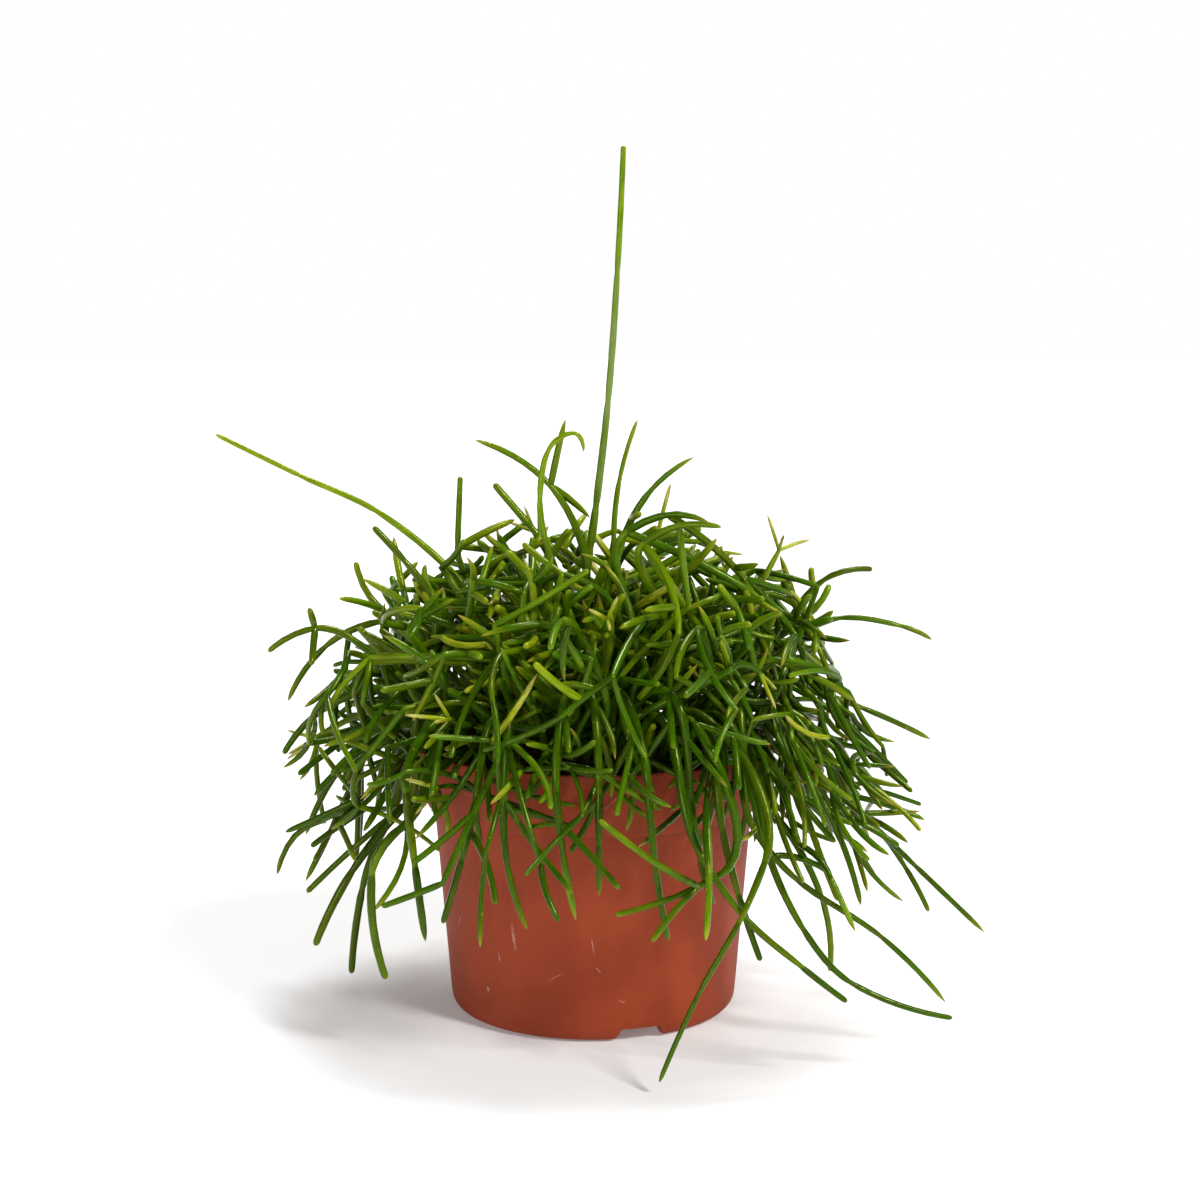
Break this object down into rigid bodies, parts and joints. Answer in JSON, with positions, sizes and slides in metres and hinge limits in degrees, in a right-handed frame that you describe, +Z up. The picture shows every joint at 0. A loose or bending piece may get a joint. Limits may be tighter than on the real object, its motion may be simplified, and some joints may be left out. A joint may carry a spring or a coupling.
{
  "type": "mistletoe cactus in pot",
  "caption": "Mistletoe cactus with thin cylindrical stems branching in whorls over the rim of a tapered plastic nursery pot filled with dark soil.",
  "frame": {"origin": "on the surface the pot stands on, under the middle of the plant's bounding box, which is also the pot's axis", "axes": "+Z up along the pot's axis, -Y towards the plant's front, +X to the right seen from the front"},
  "size_m": [0.257, 0.204, 0.288],
  "materials": {
    "pot": "moulded terracotta-coloured plastic, matt",
    "soil": "dark crumbly peat",
    "stem": "waxy green cactus skin, satin",
    "young_stem": "waxy yellow-green young skin, satin"
  },
  "bodies": {
    "root": {"pot": "pot", "soil": "soil", "stem_apron_a": "stem", "stem_apron_b": "stem", "stem_crest_a": "stem", "stem_crest_b": "stem", "stem_east_a": "stem", "stem_east_b": "stem", "stem_east_c": "stem", "stem_fall_a": "stem", "stem_fall_b": "stem", "stem_fall_c": "stem", "stem_fall_d": "stem", "stem_fall_e": "stem", "stem_fore": "stem", "stem_free_01": "stem", "stem_free_02": "stem", "stem_free_03": "stem", "stem_free_04": "stem", "stem_free_05": "stem", "stem_free_06": "stem", "stem_free_07": "stem", "stem_free_08": "stem", "stem_free_09": "stem", "stem_free_10": "stem", "stem_free_11": "stem", "stem_free_12": "stem", "stem_free_13": "stem", "stem_free_14": "stem", "stem_front_a": "stem", "stem_front_b": "stem", "stem_front_c": "stem", "stem_front_d": "stem", "stem_front_e": "stem", "stem_front_f": "stem", "stem_hook": "stem", "stem_leaning": "young_stem", "stem_lowest": "stem", "stem_pale": "young_stem", "stem_rear": "stem", "stem_reed": "stem", "stem_sickle": "stem", "stem_slant": "stem", "stem_spike": "stem", "stem_stray": "stem", "stem_sweep_a": "stem", "stem_sweep_b": "stem", "stem_sweep_c": "stem", "stem_sweep_d": "stem", "stem_sweep_e": "stem", "stem_trident": "stem", "stem_upright": "young_stem", "stem_west_a": "stem", "stem_west_b": "stem", "stem_west_c": "stem", "stem_west_d": "stem", "stem_west_e": "stem", "stem_young": "young_stem"}
  },
  "joints": []
}
